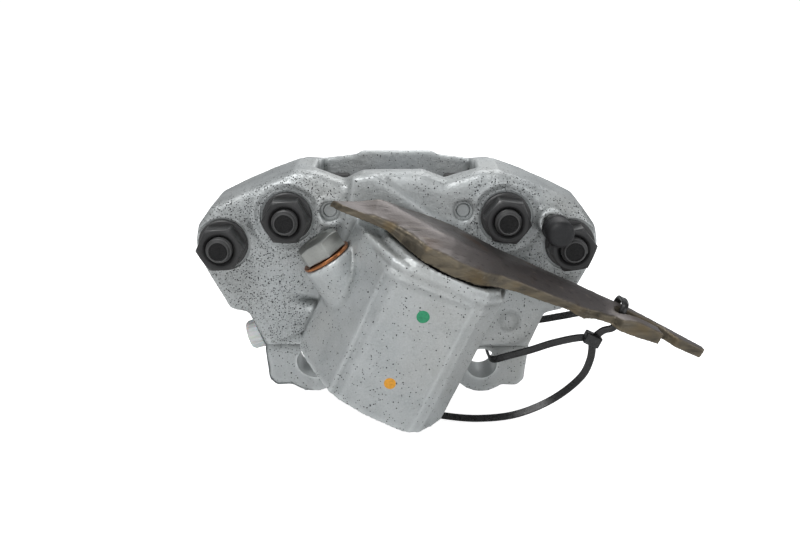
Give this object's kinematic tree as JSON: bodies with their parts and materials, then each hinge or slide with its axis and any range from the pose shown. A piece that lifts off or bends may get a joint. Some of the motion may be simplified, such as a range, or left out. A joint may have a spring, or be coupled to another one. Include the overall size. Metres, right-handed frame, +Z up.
{
  "type": "brake caliper",
  "caption": "Fixed disc-brake caliper in two bolted halves with opposed pistons and a cam-operated parking-brake lever.",
  "frame": {"origin": "midway between the two mounting holes, on the face of the mounting lugs that meets the axle carrier", "axes": "+Y along the disc axis from the lever half to the outer half, +X to the right seen from the lever half, +Z up from the mounting holes to the bridge"},
  "size_m": [0.2339, 0.134, 0.1212],
  "materials": {
    "casting": "zinc-plated rough casting, light grey with dark pores",
    "black_steel": "black phosphate, oiled",
    "forged_steel": "forged and tempered, grey brown with straw and purple tints",
    "plain_steel": "bright zinc",
    "spring_steel": "blued spring steel",
    "copper": "soft copper and bronze",
    "rubber": "matte black rubber",
    "black_nylon": "semi-gloss black nylon",
    "white_nylon": "natural translucent white nylon",
    "friction_lining": "dark granular friction lining",
    "black_paint": "matte black paint on steel"
  },
  "bodies": {
    "caliper": {"lever_side_half": "casting", "outer_half": "casting", "bridge_bolt_1": "black_steel", "bridge_bolt_2": "black_steel", "bridge_bolt_3": "black_steel", "bridge_bolt_4": "black_steel", "bridge_nut_1": "black_steel", "bridge_nut_2": "black_steel", "bridge_nut_3": "black_steel", "bridge_nut_4": "black_steel", "bridge_washer_1": "black_steel", "bridge_washer_2": "black_steel", "bridge_washer_3": "black_steel", "bridge_washer_4": "black_steel", "piston_seal_lever_side": "rubber", "piston_seal_outer": "rubber", "dust_boot_lever_side": "rubber", "dust_boot_outer": "rubber", "boot_ring_lever_side": "plain_steel", "boot_ring_outer": "plain_steel", "pad_pin_left": "plain_steel", "pad_pin_right": "plain_steel", "pad_spring": "spring_steel", "shaft_bush_lower": "copper", "shaft_bush_upper": "copper", "shaft_dust_seal": "rubber", "return_spring": "spring_steel", "spring_cage": "plain_steel", "feed_plug": "plain_steel", "feed_plug_washer": "copper", "port_transport_plug": "white_nylon", "bleed_screw": "plain_steel", "bleed_cap": "rubber", "cable_tie": "black_nylon"},
    "lever": {"handbrake_lever": "forged_steel", "cam_shaft": "plain_steel"},
    "push_rod": {"push_rod": "plain_steel"},
    "lever_side_piston": {"piston_lever_side": "plain_steel", "adjuster_spindle": "plain_steel", "adjuster_sleeve": "plain_steel", "pad_backing_lever_side": "black_paint", "pad_lining_lever_side": "friction_lining"},
    "outer_piston": {"piston_outer": "plain_steel", "pad_backing_outer": "black_paint", "pad_lining_outer": "friction_lining"}
  },
  "joints": [
    {"name": "lever_pivot", "type": "hinge", "parent": "caliper", "child": "lever", "pos_m": [0.01631, -0.052, 0.05339], "axis": [-0.4226, 0, -0.9063], "range_deg": [0, 14], "stiffness_Nm_per_rad": 2, "springref_deg": -20.05, "deforming": ["cable_tie"]},
    {"name": "push_rod_slide", "type": "slide", "parent": "caliper", "child": "push_rod", "axis": [0, 1, 0], "range_m": [0, 0.0019], "deforming": ["return_spring"]},
    {"name": "lever_side_piston_slide", "type": "slide", "parent": "caliper", "child": "lever_side_piston", "axis": [0, 1, 0], "range_m": [0, 0.006]},
    {"name": "outer_piston_slide", "type": "slide", "parent": "caliper", "child": "outer_piston", "axis": [0, -1, 0], "range_m": [0, 0.006]}
  ],
  "couplings": [
    {"joint": "push_rod_slide", "follows": "lever_pivot", "m_per_rad": 0.007775}
  ]
}
